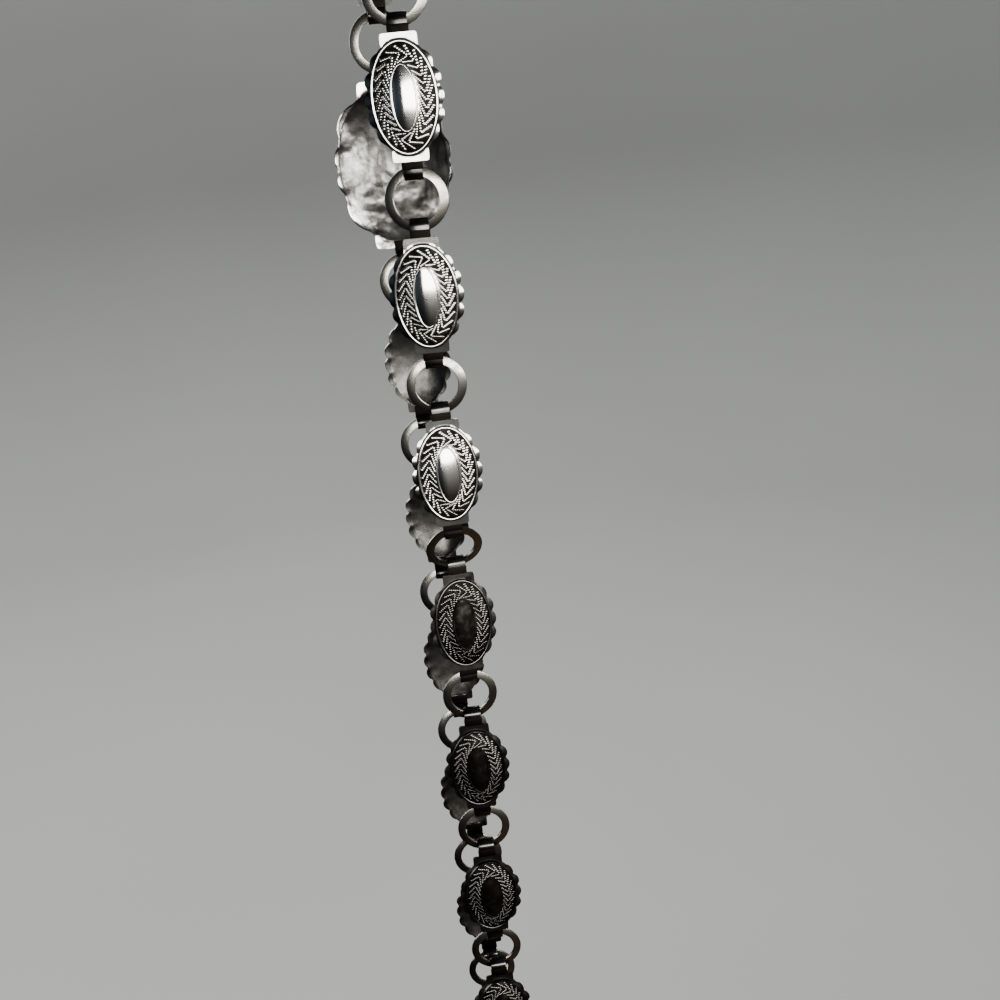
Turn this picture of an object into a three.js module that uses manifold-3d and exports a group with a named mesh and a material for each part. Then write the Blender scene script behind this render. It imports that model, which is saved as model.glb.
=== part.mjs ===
// Concho belt: stamped silver-tone oval conchos joined by flat rings, closed into a loop and hung doubled.
// Millimetres, +Z up. The origin is under the top concho, where the belt hangs, and the front strand faces -Y.

import * as THREE from 'three';
import { mergeVertices } from 'three/addons/utils/BufferGeometryUtils.js';
import Module from 'manifold-3d';

const wasm = await Module();
wasm.setup();

// Driving dimensions

const conchoSheet = 0.6;          // stamped sheet of a concho
const clearance = 0.28;           // free play of a ring inside a rolled tab
const overlap = 0.1;              // how far joined sheets run into each other

const ringOuterDiameter = 17.9;
const ringBand = 2.6;             // width of the flat ring's metal
const ringThickness = 1.0;
const ringBevel = 0.35;
const ringSides = 12;

const tabWidth = 5.4;             // narrow strip that rolls round the ring
const tabSheet = 0.42;
const tabSweep = 275;             // degrees that a concho's tab wraps round the ring
const tabSteps = 6;
const strapWidth = 5.9;           // backing strip between the ear and the roll
const strapReach = 2.3;           // how far the strap shows past the ear
const strapTuck = 2.2;            // how far it runs back under the ear
const tabReach = 2.95;            // from the ear's edge to the middle of the roll

const hookSpan = 24;              // plain hook between the middles of its two ends
const hookSweep = 215;            // degrees of its open end

// Scallops are circles, listed from the middle of a side outwards: how far across and how far along
// their middles lie, as shares of half the width and half the length, and their radius, as a share
// of half the width. Corners are the shares of a scallop's arc where its outline bends.
const smallConcho = {
  width: 21.5,                    // across the scallops
  length: 32.8,                   // ear to ear
  earWidth: 10,
  earRound: 0,                    // how much is cut off an ear's corner
  earRoot: [0.5, 0.73],           // where the ear meets the last scallop
  scallops: [[0.7, 0, 0.3], [0.7, 0.277, 0.26], [0.462, 0.515, 0.3275]],
  corners: [0.27, 0.73],
  domeWidth: 18.1,
  domeLength: 29.2,
  domeRise: 1.7,                  // raised edge of the oval above the scalloped plate
  bandRise: 1.0,                  // from that edge to the foot of the smooth middle
  cabochonWidth: 6.8,
  cabochonLength: 16.8,
  cabochonRise: 0.9,
};

const largeConcho = {
  width: 36,
  length: 49.4,
  earWidth: 17.2,
  earRound: 3,
  earRoot: [0.517, 0.774],
  scallops: [[0.7, 0.12, 0.302], [0.412, 0.4335, 0.4806]],
  corners: [0.2, 0.5, 0.8],
  domeWidth: 31.4,
  domeLength: 44.2,
  domeRise: 2.6,
  bandRise: 1.4,
  cabochonWidth: 17.4,
  cabochonLength: 27.2,
  cabochonRise: 1.7,
};

// The loop from the top concho down the front strand and up the back one, with a ring after each link.
const linkOrder = [
  ...Array(10).fill('concho'),
  'hook',
  ...Array(6).fill('concho'),
  'large',
  'concho',
];

const topTilt = 16;               // degrees that the top concho leans back on what holds it
const topYaw = 7;                 // degrees that it turns to carry the two strands

// Chosen points of the hanging chain, down both strands: how far down, and where each strand lies.
const strandRoute = [
  { down: 0.12, frontX: 2.1, frontY: -19.3, backX: -2.6, backY: 16.6 },
  { down: 0.3, frontX: 1.9, frontY: -19.0, backX: -2.3, backY: 15.2 },
  { down: 0.5, frontX: 1.7, frontY: -17.5, backX: -1.8, backY: 12.6 },
  { down: 0.7, frontX: 1.3, frontY: -14.5, backX: -1.2, backY: 8.6 },
  { down: 0.87, frontX: 0.8, frontY: -12.2, backX: -0.7, backY: 8.2 },
  { down: 0.975, frontX: 0.3, frontY: -10.5, backX: -0.3, backY: 9.0 },
];

// Where single contacts stand off that route, counted from the top concho's front end.
const contactNudges = [
  { contact: 8, y: -2.2 },
  { contact: 9, y: 4.0 },
];

// Degrees that single links turn about the strand, as they hang.
const linkTurns = [
  { link: 2, turn: 8 },
  { link: 3, turn: 5 },
  { link: 4, turn: -5 },
  { link: 5, turn: -6 },
  { link: 13, turn: 4 },
  { link: 15, turn: -4 },
];

// Worked out from the sizes above

const ringMiddleRadius = (ringOuterDiameter - ringBand) / 2;
const ringTop = ringOuterDiameter / 2;
const holeAtTabEdge = Math.sqrt((ringTop - ringBand) ** 2 - (tabWidth / 2) ** 2);
const ringSeat = (ringTop + holeAtTabEdge) / 2;       // ring's centre to the middle of a roll
const rollInner = Math.hypot((ringTop - holeAtTabEdge) / 2, ringBevel / 2) + clearance;
const rollOuter = rollInner + tabSheet;
const plateLevel = rollOuter - overlap;               // underside of a concho's plate above the chain's axis

const degrees = THREE.MathUtils.degToRad;
const across = new THREE.Vector3(1, 0, 0);

// Materials

function silver(name, colour, roughness) {
  return new THREE.MeshStandardMaterial({ name, color: colour, metalness: 1, roughness });
}

const conchoSilver = silver('stamped_silver', 0xa7a5a0, 0.32);
const ringSilver = silver('ring_silver', 0x8b8985, 0.38);
const hookSilver = silver('hook_silver', 0x94928d, 0.4);

// Closed loops of points, joined one to the next into a solid

function bridge(lower, upper, faces) {
  const lowerSteps = lower.length > 1 ? lower.length : 0;
  const upperSteps = upper.length > 1 ? upper.length : 0;
  let low = 0;
  let up = 0;
  while (low < lowerSteps || up < upperSteps) {
    const lowHere = lower[low % lower.length];
    const upHere = upper[up % upper.length];
    const raise = low >= lowerSteps || (up < upperSteps && (up + 1) * lowerSteps <= low * upperSteps);
    if (raise) {
      faces.push(lowHere, upper[(up + 1) % upper.length], upHere);
      up += 1;
    } else {
      faces.push(lowHere, lower[(low + 1) % lower.length], upHere);
      low += 1;
    }
  }
}

function solidFromLoops(loops) {
  const positions = [];
  const faces = [];
  const numbered = loops.map((loop) => loop.map((point) => {
    positions.push(point.x, point.y, point.z);
    return positions.length / 3 - 1;
  }));
  for (let i = 1; i < numbered.length; i += 1) {
    bridge(numbered[i - 1], numbered[i], faces);
  }
  const geometry = new THREE.BufferGeometry();
  geometry.setAttribute('position', new THREE.Float32BufferAttribute(positions, 3));
  geometry.setIndex(faces);
  return geometry;
}

// Joining with manifold-3d

function toManifold(geometry) {
  const bare = geometry.clone();
  bare.deleteAttribute('normal');
  bare.deleteAttribute('uv');
  const merged = mergeVertices(bare, 1e-4);
  return new wasm.Manifold(new wasm.Mesh({
    numProp: 3,
    vertProperties: new Float32Array(merged.attributes.position.array),
    triVerts: new Uint32Array(merged.index.array),
  }));
}

function join(geometries) {
  const solid = geometries.map(toManifold).reduce((whole, next) => whole.add(next));
  const mesh = solid.getMesh();
  const geometry = new THREE.BufferGeometry();
  geometry.setAttribute('position', new THREE.BufferAttribute(mesh.vertProperties, 3));
  geometry.setIndex(new THREE.BufferAttribute(mesh.triVerts, 1));
  return geometry;
}

// Flat bevelled ring in the XY plane, with a flat side at each end of its Y axis

function ringGeometry() {
  const step = (2 * Math.PI) / ringSides;
  const swell = Math.sqrt(step / Math.sin(step));     // a polygon of the circle's own area
  const section = [
    [-ringBand / 2, 0],
    [-ringBand / 2 + ringBevel, -ringThickness / 2],
    [ringBand / 2 - ringBevel, -ringThickness / 2],
    [ringBand / 2, 0],
    [ringBand / 2 - ringBevel, ringThickness / 2],
    [-ringBand / 2 + ringBevel, ringThickness / 2],
    [-ringBand / 2, 0],
  ];
  const profile = section.map(([out, up]) => new THREE.Vector2((ringMiddleRadius + out) * swell, up));
  return new THREE.LatheGeometry(profile, ringSides, step / 2).rotateX(Math.PI / 2);
}

// Strip along Y that rolls over a ring and back under it; the roll's middle is at the origin

function tabGeometry(stripLength, sweep) {
  const step = degrees(sweep) / tabSteps;
  const rim = (radius, turned) => [Math.sin(turned) * radius, Math.cos(turned) * radius];
  const outer = [];
  const inner = [rim(rollInner, degrees(sweep))];
  for (let i = 0; i < tabSteps; i += 1) {
    const corner = 1 / Math.cos(step / 2);            // the sides touch the true circle from outside
    outer.push(rim(rollOuter * corner, (i + 0.5) * step));
    inner.splice(1, 0, rim(rollInner * corner, (i + 0.5) * step));
  }
  outer.push(rim(rollOuter, degrees(sweep)));
  const side = new THREE.Shape();
  side.moveTo(-stripLength, rollOuter);
  outer.forEach(([y, z]) => side.lineTo(y, z));
  inner.forEach(([y, z]) => side.lineTo(y, z));
  side.lineTo(-stripLength, rollInner);
  side.closePath();
  const strip = new THREE.ExtrudeGeometry(side, { depth: tabWidth, bevelEnabled: false });
  return strip.translate(0, 0, -tabWidth / 2).rotateX(Math.PI / 2).rotateZ(Math.PI / 2);
}

function strapGeometry(size) {
  const length = strapTuck + strapReach;
  const strap = new THREE.BoxGeometry(strapWidth, length, tabSheet);
  return strap.translate(0, size.length / 2 + strapReach - length / 2, rollOuter - tabSheet / 2);
}

// Concho: scalloped plate with ears, raised oval dome, smooth middle, hollow behind

function scallopCircles(size) {
  const outwards = size.scallops.map(([across, along, radius]) => ({
    middle: new THREE.Vector2(across * size.width / 2, along * size.length / 2),
    radius: radius * size.width / 2,
  }));
  const backwards = outwards.filter(({ middle }) => middle.y > 0).reverse()
    .map(({ middle, radius }) => ({ middle: new THREE.Vector2(middle.x, -middle.y), radius }));
  return [...backwards, ...outwards];
}

function outerCrossing(one, other) {
  const line = other.middle.clone().sub(one.middle);
  const gap = line.length();
  const along = (gap ** 2 + one.radius ** 2 - other.radius ** 2) / (2 * gap);
  const out = Math.sqrt(one.radius ** 2 - along ** 2);
  line.normalize();
  const point = new THREE.Vector2(line.y, -line.x).multiplyScalar(out);
  return point.addScaledVector(line, along).add(one.middle);
}

function earPoints(size) {
  const x = size.earWidth / 2;
  const y = size.length / 2;
  if (size.earRound === 0) {
    return [new THREE.Vector2(x, y), new THREE.Vector2(-x, y)];
  }
  const right = [new THREE.Vector2(x, y - size.earRound), new THREE.Vector2(x - size.earRound, y)];
  return [...right, ...right.map((point) => new THREE.Vector2(-point.x, point.y)).reverse()];
}

function scallopOutline(size) {
  const circles = scallopCircles(size);
  const root = new THREE.Vector2(size.earRoot[0] * size.width / 2, size.earRoot[1] * size.length / 2);
  const valleys = circles.slice(1).map((circle, i) => outerCrossing(circles[i], circle));
  const ends = [new THREE.Vector2(root.x, -root.y), ...valleys, root];
  const side = [];
  circles.forEach(({ middle, radius }, i) => {
    const turnTo = (point) => Math.atan2(point.y - middle.y, point.x - middle.x);
    const first = turnTo(ends[i]);
    const last = turnTo(ends[i + 1]);
    side.push(ends[i]);
    for (const share of size.corners) {
      const angle = first + (last - first) * share;
      side.push(new THREE.Vector2(Math.cos(angle), Math.sin(angle)).multiplyScalar(radius).add(middle));
    }
  });
  side.push(root, ...earPoints(size));
  return [...side, ...side.map((point) => point.clone().negate())];
}

function levelsOf(size) {
  const plateTop = plateLevel + conchoSheet;
  const rimTop = plateTop + size.domeRise;
  const middleFoot = rimTop + size.bandRise;
  const crown = middleFoot + size.cabochonRise;
  return { plateTop, rimTop, middleFoot, crown, hollowTop: crown - 2 * conchoSheet };
}

function conchoShell(size) {
  const outline = scallopOutline(size);
  const flat = (height) => outline.map((point) => new THREE.Vector3(point.x, point.y, height));
  const half = outline.slice(0, outline.length / 2).filter((point, i) => i % 2 === 0);
  const spokes = [...half, ...half.map((point) => point.clone().negate())];
  const oval = (width, length, height) => spokes.map((point) => {
    const angle = Math.atan2(point.y / size.domeLength, point.x / size.domeWidth);
    return new THREE.Vector3(width / 2 * Math.cos(angle), length / 2 * Math.sin(angle), height);
  });
  const { plateTop, rimTop, middleFoot, crown, hollowTop } = levelsOf(size);
  const mouthInset = 2 * conchoSheet;
  const shoulderInset = 3 * conchoSheet;
  return solidFromLoops([
    [new THREE.Vector3(0, 0, hollowTop)],
    oval(size.domeWidth - shoulderInset, size.domeLength - shoulderInset, rimTop - conchoSheet),
    oval(size.domeWidth - mouthInset, size.domeLength - mouthInset, plateLevel),
    flat(plateLevel),
    flat(plateTop),
    oval(size.domeWidth, size.domeLength, plateTop),
    oval(size.domeWidth - conchoSheet, size.domeLength - conchoSheet, rimTop),
    oval(size.cabochonWidth, size.cabochonLength, middleFoot),
    [new THREE.Vector3(0, 0, crown)],
  ]);
}

function conchoGeometry(size) {
  const rollAt = size.length / 2 + tabReach;
  const end = () => [
    strapGeometry(size),
    tabGeometry(tabReach + strapTuck, tabSweep).translate(0, rollAt, 0),
  ];
  const farEnd = end().map((piece) => piece.rotateZ(Math.PI));
  return join([conchoShell(size), ...end(), ...farEnd]);
}

function hookGeometry() {
  const half = hookSpan / 2;
  const closed = tabGeometry(half + overlap, tabSweep).translate(0, half, 0);
  const open = tabGeometry(half + overlap, hookSweep).translate(0, half, 0).rotateZ(Math.PI);
  return join([closed, open]);
}

// Hanging the chain: contacts are the middles of the rolls, where a link carries a ring

function conchoKind(size) {
  return { span: size.length + 2 * tabReach, geometry: conchoGeometry(size), material: conchoSilver };
}

const kinds = {
  concho: conchoKind(smallConcho),
  large: conchoKind(largeConcho),
  hook: { span: hookSpan, geometry: hookGeometry(), material: hookSilver },
};

function topContacts() {
  const { hollowTop } = levelsOf(smallConcho);
  const pose = new THREE.Euler(degrees(-topTilt), 0, degrees(topYaw), 'ZXY');
  const half = kinds.concho.span / 2;
  return {
    front: new THREE.Vector3(0, -half, -hollowTop).applyEuler(pose),
    back: new THREE.Vector3(0, half, -hollowTop).applyEuler(pose),
  };
}

function routeCurve(top, drop) {
  const down = strandRoute.map((p) => new THREE.Vector3(p.frontX, p.frontY, -p.down * drop));
  const up = strandRoute.map((p) => new THREE.Vector3(p.backX, p.backY, -p.down * drop)).reverse();
  const bottom = new THREE.Vector3(0, (down.at(-1).y + up[0].y) / 2, -drop);
  return new THREE.CatmullRomCurve3([top.front, ...down, bottom, ...up, top.back], false, 'centripetal');
}

function nextContact(curve, from, here, reach, nudge) {
  const stride = 0.001;                               // share of the route, well under a link
  const at = (share) => curve.getPoint(Math.min(share, 1)).add(nudge);
  let far = here + stride;
  while (far < 1 && at(far).distanceTo(from) < reach) {
    far += stride;
  }
  let near = far - stride;
  for (let i = 0; i < 40; i += 1) {
    const middle = (near + far) / 2;
    if (at(middle).distanceTo(from) < reach) {
      near = middle;
    } else {
      far = middle;
    }
  }
  return { share: near, point: at(near) };
}

function walkChain(top, drop) {
  const curve = routeCurve(top, drop);
  const reaches = linkOrder.flatMap((kind) => [kinds[kind].span, 2 * ringSeat]).slice(1, -1);
  const contacts = [top.front];
  let share = 0;
  reaches.forEach((reach, i) => {
    const nudged = contactNudges.find((entry) => entry.contact === i + 1);
    const nudge = new THREE.Vector3(0, nudged ? nudged.y : 0, 0);
    const next = nextContact(curve, contacts.at(-1), share, reach, nudge);
    share = next.share;
    contacts.push(next.point);
  });
  return { contacts, slack: contacts.at(-1).distanceTo(top.back) - 2 * ringSeat, share };
}

function hangChain() {
  const top = topContacts();
  const length = linkOrder.reduce((sum, kind) => sum + kinds[kind].span + 2 * ringSeat, 0);
  let shallow = length / 4;                           // the drop lies between these two
  let deep = length / 2;
  for (let i = 0; i < 40; i += 1) {
    const drop = (shallow + deep) / 2;
    const hung = walkChain(top, drop);
    if (hung.slack > 0 && hung.share < 0.9999) {
      deep = drop;
    } else {
      shallow = drop;
    }
  }
  return [top.back, ...walkChain(top, deep).contacts, top.back];
}

function placeLink(mesh, from, to, turn) {
  const along = to.clone().sub(from).normalize();
  const facing = along.clone().cross(across).normalize();
  facing.applyAxisAngle(along, degrees(turn));
  const sideways = along.clone().cross(facing);
  mesh.quaternion.setFromRotationMatrix(new THREE.Matrix4().makeBasis(sideways, along, facing));
  mesh.position.copy(from).add(to).multiplyScalar(0.5);
}

const belt = new THREE.Group();
belt.name = 'concho_belt';

const contacts = hangChain();
const numberOf = { concho: 0, ring: 0 };
const turnOf = (link) => linkTurns.find((entry) => entry.link === link)?.turn ?? 0;
const ringShape = ringGeometry();

function numbered(word) {
  numberOf[word] += 1;
  return `${word}_${String(numberOf[word]).padStart(2, '0')}`;
}

function addPiece(name, geometry, material, from, to, turn) {
  const mesh = new THREE.Mesh(geometry, material);
  mesh.name = name;
  placeLink(mesh, from, to, turn);
  belt.add(mesh);
}

linkOrder.forEach((kind, i) => {
  const fixedNames = { large: 'large_concho', hook: 'hook_clasp' };
  const name = fixedNames[kind] ?? numbered('concho');
  const { geometry, material } = kinds[kind];
  addPiece(name, geometry, material, contacts[2 * i], contacts[2 * i + 1], turnOf(i));
  const ringTurn = (turnOf(i) + turnOf(i + 1)) / 2;
  addPiece(numbered('ring'), ringShape, ringSilver, contacts[2 * i + 1], contacts[2 * i + 2], ringTurn);
});

export default belt;
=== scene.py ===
# Concho belt of darkened stamped silver, hung doubled: the finished pieces over the CAD frame
import math

import bpy
from mathutils import Matrix, Vector


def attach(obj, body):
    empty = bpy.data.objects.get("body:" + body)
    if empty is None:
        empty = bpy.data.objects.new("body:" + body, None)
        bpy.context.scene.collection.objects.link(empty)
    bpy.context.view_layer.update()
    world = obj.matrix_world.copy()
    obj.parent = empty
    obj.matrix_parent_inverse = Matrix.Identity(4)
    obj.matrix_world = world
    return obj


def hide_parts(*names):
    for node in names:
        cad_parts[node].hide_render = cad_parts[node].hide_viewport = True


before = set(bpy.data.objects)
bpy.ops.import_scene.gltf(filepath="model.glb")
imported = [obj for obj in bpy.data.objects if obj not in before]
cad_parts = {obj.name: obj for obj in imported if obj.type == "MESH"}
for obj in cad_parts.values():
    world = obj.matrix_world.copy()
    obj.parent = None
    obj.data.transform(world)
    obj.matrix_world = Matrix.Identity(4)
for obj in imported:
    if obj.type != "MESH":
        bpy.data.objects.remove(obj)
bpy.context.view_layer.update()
bpy.ops.object.select_all(action="DESELECT")
print("frame loaded:", len(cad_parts), "nodes")

# Camera, where the photographer stood. Places are in millimetres, as everywhere below.
cameraView = {
    "place": (-8.9, -343.1, -87.8),
    "pitchDown": 19.89,
    "yaw": 4.62,
    "roll": -5.38,
    "lens": 40.44,              # on a 36 mm sensor
}


def makeCamera(view):
    pitch = math.radians(view["pitchDown"])
    yaw = math.radians(view["yaw"])
    roll = math.radians(view["roll"])
    ahead = Vector((math.sin(yaw) * math.cos(pitch), math.cos(yaw) * math.cos(pitch), -math.sin(pitch)))
    right = Vector((math.cos(yaw), -math.sin(yaw), 0))
    down = ahead.cross(right)
    cameraRight = right * math.cos(roll) - down * math.sin(roll)
    cameraUp = -(right * math.sin(roll) + down * math.cos(roll))
    turned = Matrix((cameraRight, cameraUp, -ahead)).transposed().to_4x4()
    bpy.ops.object.camera_add()
    camera = bpy.context.object
    camera.matrix_world = Matrix.Translation(Vector(view["place"]) / 1000) @ turned
    camera.data.sensor_width = 36
    camera.data.lens = view["lens"]
    camera.data.clip_start = 0.01
    bpy.context.scene.camera = camera


makeCamera(cameraView)
print("camera placed")


# Materials

def hexColour(text):
    parts = [int(text[i:i + 2], 16) / 255 for i in (1, 3, 5)]
    linear = [p / 12.92 if p <= 0.04045 else ((p + 0.055) / 1.055) ** 2.4 for p in parts]
    return (*linear, 1)


def addNode(tree, kind, settings=None, links=None):
    node = tree.nodes.new(kind)
    for name, value in (settings or {}).items():
        if isinstance(name, int) or name in node.inputs:
            node.inputs[name].default_value = value
        else:
            setattr(node, name, value)
    for name, source in (links or {}).items():
        tree.links.new(source, node.inputs[name])
    return node


def setRamp(node, stops):
    ramp = node.color_ramp
    while len(ramp.elements) < len(stops):
        ramp.elements.new(0.5)
    for element, (place, colour) in zip(ramp.elements, stops):
        element.position = place
        element.color = hexColour(colour)
    return node


def newMaterial(name):
    material = bpy.data.materials.new(name)
    material.use_nodes = True
    tree = material.node_tree
    return material, tree, tree.nodes["Principled BSDF"]


def stampedSilver():
    # Die-stamped silver plate, blackened and then rubbed: hollows stay black-brown, high places shine
    look = {
        "hollow": "#151210",
        "film": "#6a6966",
        "rubbed": "#dad7d0",
        "blotchSize": 3.5,       # mm, cloudy tarnish
        "blotchSpread": 0.35,    # how much the tarnish varies the polish
        "blotchShift": -0.17,
        "dentSize": 5.5,         # mm, unevenness left by the die on the back
        "dentDepth": 0.7,        # mm, where dents is 1
        "dentDullness": 0.1,     # added to the roughness where dents is 1
        "scratchSize": 0.35,     # mm, fine rubbing marks
        "scratchDepth": 0.03,    # mm
        "scratchStrength": 0.04,
        "roughHollow": 0.5,
        "roughFilm": 0.2,
        "roughHigh": 0.13,
        "filmAt": (0.28, 0.45),  # polish at which the film's roughness and colour are reached
        "rubbedAt": 0.85,
    }
    material, tree, surface = newMaterial("StampedAntiquedSilver")
    place = addNode(tree, "ShaderNodeTexCoord")
    polish = addNode(tree, "ShaderNodeAttribute", {"attribute_name": "polish"})
    blotch = addNode(tree, "ShaderNodeTexNoise",
                     {"Scale": 1000 / look["blotchSize"], "Detail": 4, "Roughness": 0.6},
                     {"Vector": place.outputs["Object"]})
    worn = addNode(tree, "ShaderNodeMath",
                   {"operation": "MULTIPLY_ADD", 1: look["blotchSpread"], 2: look["blotchShift"]},
                   {0: blotch.outputs["Fac"]})
    shine = addNode(tree, "ShaderNodeMath", {"operation": "ADD", "use_clamp": True},
                    {0: polish.outputs["Fac"], 1: worn.outputs[0]})
    # the polish also carries painted shade: black straps, the dark top of the large concho's back, and
    # the darker lower links
    colour = addNode(tree, "ShaderNodeValToRGB", None, {"Fac": shine.outputs[0]})
    setRamp(colour, [(0.0, look["hollow"]), (look["filmAt"][1], look["film"]),
                     (look["rubbedAt"], look["rubbed"])])
    rough = addNode(tree, "ShaderNodeFloatCurve", None, {"Value": shine.outputs[0]})
    curve = rough.mapping.curves[0]
    curve.points[0].location = (0, look["roughHollow"])
    curve.points[1].location = (1, look["roughHigh"])
    curve.points.new(look["filmAt"][0], look["roughFilm"])
    rough.mapping.update()
    dents = addNode(tree, "ShaderNodeAttribute", {"attribute_name": "dents"})
    duller = addNode(tree, "ShaderNodeMath",
                     {"operation": "MULTIPLY_ADD", 1: look["dentDullness"]},
                     {0: dents.outputs["Fac"], 2: rough.outputs["Value"]})
    uneven = addNode(tree, "ShaderNodeTexNoise",
                     {"Scale": 1000 / look["dentSize"], "Detail": 1.5, "Roughness": 0.5},
                     {"Vector": place.outputs["Object"]})
    dented = addNode(tree, "ShaderNodeBump", {"Distance": look["dentDepth"] / 1000},
                     {"Strength": dents.outputs["Fac"], "Height": uneven.outputs["Fac"]})
    scratch = addNode(tree, "ShaderNodeTexNoise",
                      {"Scale": 1000 / look["scratchSize"], "Detail": 2},
                      {"Vector": place.outputs["Object"]})
    bump = addNode(tree, "ShaderNodeBump",
                   {"Strength": look["scratchStrength"], "Distance": look["scratchDepth"] / 1000},
                   {"Height": scratch.outputs["Fac"], "Normal": dented.outputs["Normal"]})
    surface.inputs["Metallic"].default_value = 1
    tree.links.new(colour.outputs["Color"], surface.inputs["Base Color"])
    tree.links.new(duller.outputs[0], surface.inputs["Roughness"])
    tree.links.new(bump.outputs["Normal"], surface.inputs["Normal"])
    return material


def tumbledSilver(name, look):
    # Punched and barrel-tumbled silver plate: softly dull, cloudy, with hair-fine marks
    material, tree, surface = newMaterial(name)
    place = addNode(tree, "ShaderNodeTexCoord")
    cloud = addNode(tree, "ShaderNodeTexNoise",
                    {"Scale": 1000 / look["cloudSize"], "Detail": 5, "Roughness": 0.65},
                    {"Vector": place.outputs["Object"]})
    colour = addNode(tree, "ShaderNodeValToRGB", None, {"Fac": cloud.outputs["Fac"]})
    darkAt, lightAt = look["cloudRange"]
    setRamp(colour, [(darkAt, look["dark"]), (lightAt, look["light"])])
    rough = addNode(tree, "ShaderNodeMapRange",
                    {"From Min": darkAt, "From Max": lightAt,
                     "To Min": look["roughDark"], "To Max": look["roughLight"]},
                    {"Value": cloud.outputs["Fac"]})
    marks = addNode(tree, "ShaderNodeTexNoise", {"Scale": 1000 / look["markSize"], "Detail": 2},
                    {"Vector": place.outputs["Object"]})
    bump = addNode(tree, "ShaderNodeBump",
                   {"Strength": look["markStrength"], "Distance": look["markDepth"] / 1000},
                   {"Height": marks.outputs["Fac"]})
    surface.inputs["Metallic"].default_value = 1
    tree.links.new(colour.outputs["Color"], surface.inputs["Base Color"])
    tree.links.new(rough.outputs["Result"], surface.inputs["Roughness"])
    tree.links.new(bump.outputs["Normal"], surface.inputs["Normal"])
    return material


ringLook = {
    "dark": "#6b6862",
    "light": "#aaa79f",
    "roughDark": 0.26,
    "roughLight": 0.17,
    "cloudSize": 4.0,            # mm, clouds left by tumbling
    "cloudRange": (0.3, 0.7),    # noise at which the metal is dark and light
    "markSize": 0.3,             # mm
    "markDepth": 0.08,           # mm
    "markStrength": 0.12,
}
hookLook = dict(ringLook, dark="#66645f", light="#a8a59f")

conchoSilver = stampedSilver()
ringSilver = tumbledSilver("TumbledRingSilver", ringLook)
hookSilver = tumbledSilver("TumbledHookSilver", hookLook)
print("materials made")


# Small modelling helpers. Pieces are modelled with one unit to the millimetre.

mergeWithin = 0.0005             # points closer than this are one
plainDents = 0.05                # unevenness of a piece that names none
facesBack = -0.05                # a face whose normal points lower than this is on the back
atMiddle = (0, 0, 0)             # operators turn and scale about the piece's own middle


def selectOnly(piece):
    bpy.ops.object.select_all(action="DESELECT")
    piece.select_set(True)
    bpy.context.view_layer.objects.active = piece


def applyModifier(piece, kind, settings):
    selectOnly(piece)
    modifier = piece.modifiers.new(kind.title(), kind)
    for name, value in settings.items():
        setattr(modifier, name, value)
    bpy.ops.object.modifier_apply(modifier=modifier.name)


def softenEdges(piece, width):
    applyModifier(piece, "BEVEL", {"width": width, "segments": 2, "limit_method": "ANGLE",
                                   "angle_limit": math.radians(60)})


def joinPieces(pieces):
    bpy.ops.object.select_all(action="DESELECT")
    for piece in pieces:
        piece.select_set(True)
    bpy.context.view_layer.objects.active = pieces[0]
    bpy.ops.object.join()
    return pieces[0]


def setPolish(piece, polishAt, dentsAt=None):
    polish = piece.data.attributes.new("polish", "FLOAT", "POINT")
    dents = piece.data.attributes.new("dents", "FLOAT", "POINT")
    for vertex in piece.data.vertices:
        polish.data[vertex.index].value = polishAt(vertex.co, vertex.normal)
        dents.data[vertex.index].value = dentsAt(vertex.co, vertex.normal) if dentsAt else plainDents


def smooth(piece, angle):
    selectOnly(piece)
    bpy.ops.object.shade_smooth_by_angle(angle=math.radians(angle))


def outwards(piece):
    selectOnly(piece)
    bpy.ops.object.mode_set(mode="EDIT")
    bpy.ops.mesh.select_all(action="SELECT")
    bpy.ops.mesh.remove_doubles(threshold=mergeWithin)
    bpy.ops.mesh.normals_make_consistent(inside=False)
    bpy.ops.object.mode_set(mode="OBJECT")


# Rolled tab and strap: the strip that ties each end of a concho to its ring

tab = {
    "width": 5.4,
    "sheet": 0.42,
    "rollMiddleRadius": 2.06,    # to the middle of the sheet
    "sweep": 275,                # degrees, round the ring
    "turnSteps": 20,
    "edge": 0.09,
    "polish": 0.26,
    "strapWidth": 5.9,
    "strapReach": 2.3,           # past the ear
    "strapTuck": 2.2,            # under the ear
    "strapEdge": 0.12,
    "strapPaintedShade": -0.2,         # painted shade: the straps are kept black where the ear shades them
    "reach": 2.95,               # from the ear to the middle of the roll
}


def rolledTab(stripLength, sweep, rollAt):
    bpy.ops.mesh.primitive_plane_add(size=1)
    strip = bpy.context.object
    endFrom = rollAt - 0.01                               # the corners past this are rolled up
    bpy.ops.object.mode_set(mode="EDIT")
    bpy.ops.transform.resize(value=(tab["width"], stripLength, 1), center_override=atMiddle)
    bpy.ops.transform.translate(value=(0, rollAt - stripLength / 2, tab["rollMiddleRadius"]))
    bpy.ops.mesh.select_all(action="DESELECT")
    bpy.ops.object.mode_set(mode="OBJECT")
    for vertex in strip.data.vertices:
        vertex.select = vertex.co.y > endFrom
    for edge in strip.data.edges:
        edge.select = all(strip.data.vertices[i].co.y > endFrom for i in edge.vertices)
    bpy.ops.object.mode_set(mode="EDIT")
    bpy.ops.mesh.spin(steps=tab["turnSteps"], angle=math.radians(sweep), center=(0, rollAt, 0),
                      axis=(1, 0, 0))
    bpy.ops.object.mode_set(mode="OBJECT")
    outwards(strip)
    applyModifier(strip, "SOLIDIFY", {"thickness": tab["sheet"], "offset": 0})
    softenEdges(strip, tab["edge"])
    setPolish(strip, lambda co, normal: tab["polish"])
    smooth(strip, 40)
    return strip


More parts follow.
